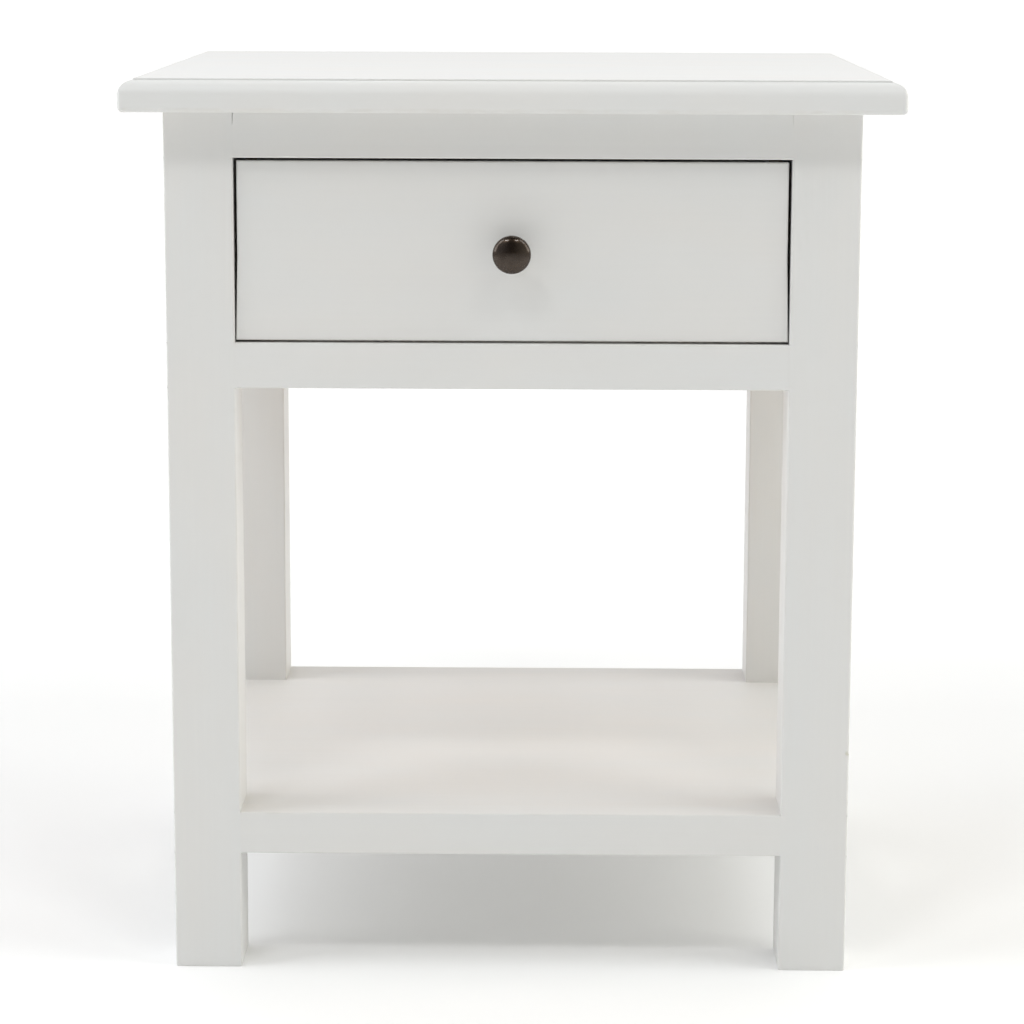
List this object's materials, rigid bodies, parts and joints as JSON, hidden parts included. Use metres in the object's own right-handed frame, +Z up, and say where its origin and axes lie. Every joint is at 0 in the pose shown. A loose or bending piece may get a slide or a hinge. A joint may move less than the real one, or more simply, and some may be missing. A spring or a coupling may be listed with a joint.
{
  "type": "side table",
  "caption": "Painted wooden side table with an inset drawer on wooden runners, a domed bronze knob, square legs and a low open shelf.",
  "frame": {"origin": "on the floor, under the middle of the top board", "axes": "+X to the right as seen from the front, +Y from the front to the back, +Z up; the drawer pulls out along -Y"},
  "size_m": [0.505, 0.45, 0.6],
  "materials": {
    "white_paint": "brushed satin white paint over solid wood, faint grain",
    "runner_wood": "bare planed softwood",
    "drawer_wood": "bare sanded softwood",
    "plywood": "bare thin plywood",
    "bronze": "dark oil-rubbed bronze, smooth",
    "screw_steel": "zinc-plated steel"
  },
  "bodies": {
    "carcass": {"back_apron": "white_paint", "drawer_guide_left": "runner_wood", "drawer_guide_right": "runner_wood", "drawer_kicker_left": "runner_wood", "drawer_kicker_right": "runner_wood", "drawer_rail": "white_paint", "drawer_runner_left": "runner_wood", "drawer_runner_right": "runner_wood", "drawer_stop_left": "runner_wood", "drawer_stop_right": "runner_wood", "front_top_rail": "white_paint", "guide_screw_back_left": "screw_steel", "guide_screw_back_right": "screw_steel", "guide_screw_front_left": "screw_steel", "guide_screw_front_right": "screw_steel", "leg_back_left": "white_paint", "leg_back_right": "white_paint", "leg_front_left": "white_paint", "leg_front_right": "white_paint", "runner_screw_back_left": "screw_steel", "runner_screw_back_right": "screw_steel", "runner_screw_front_left": "screw_steel", "runner_screw_front_right": "screw_steel", "shelf_board": "white_paint", "shelf_cleat_back": "white_paint", "shelf_cleat_front": "white_paint", "shelf_rail_back": "white_paint", "shelf_rail_front": "white_paint", "shelf_rail_left": "white_paint", "shelf_rail_right": "white_paint", "shelf_screw_back_left": "screw_steel", "shelf_screw_back_right": "screw_steel", "shelf_screw_front_left": "screw_steel", "shelf_screw_front_right": "screw_steel", "side_apron_left": "white_paint", "side_apron_right": "white_paint", "top_board": "white_paint", "top_screw_back_left": "screw_steel", "top_screw_back_right": "screw_steel", "top_screw_front_left": "screw_steel", "top_screw_front_right": "screw_steel"},
    "drawer": {"bottom_pin_left": "screw_steel", "bottom_pin_right": "screw_steel", "drawer_back": "drawer_wood", "drawer_bottom": "plywood", "drawer_front": "white_paint", "drawer_side_left": "drawer_wood", "drawer_side_right": "drawer_wood", "knob": "bronze", "knob_screw": "screw_steel"}
  },
  "joints": [
    {"name": "drawer_slide", "type": "slide", "parent": "carcass", "child": "drawer", "axis": [0, -1, 0], "range_m": [0, 0.24]}
  ]
}
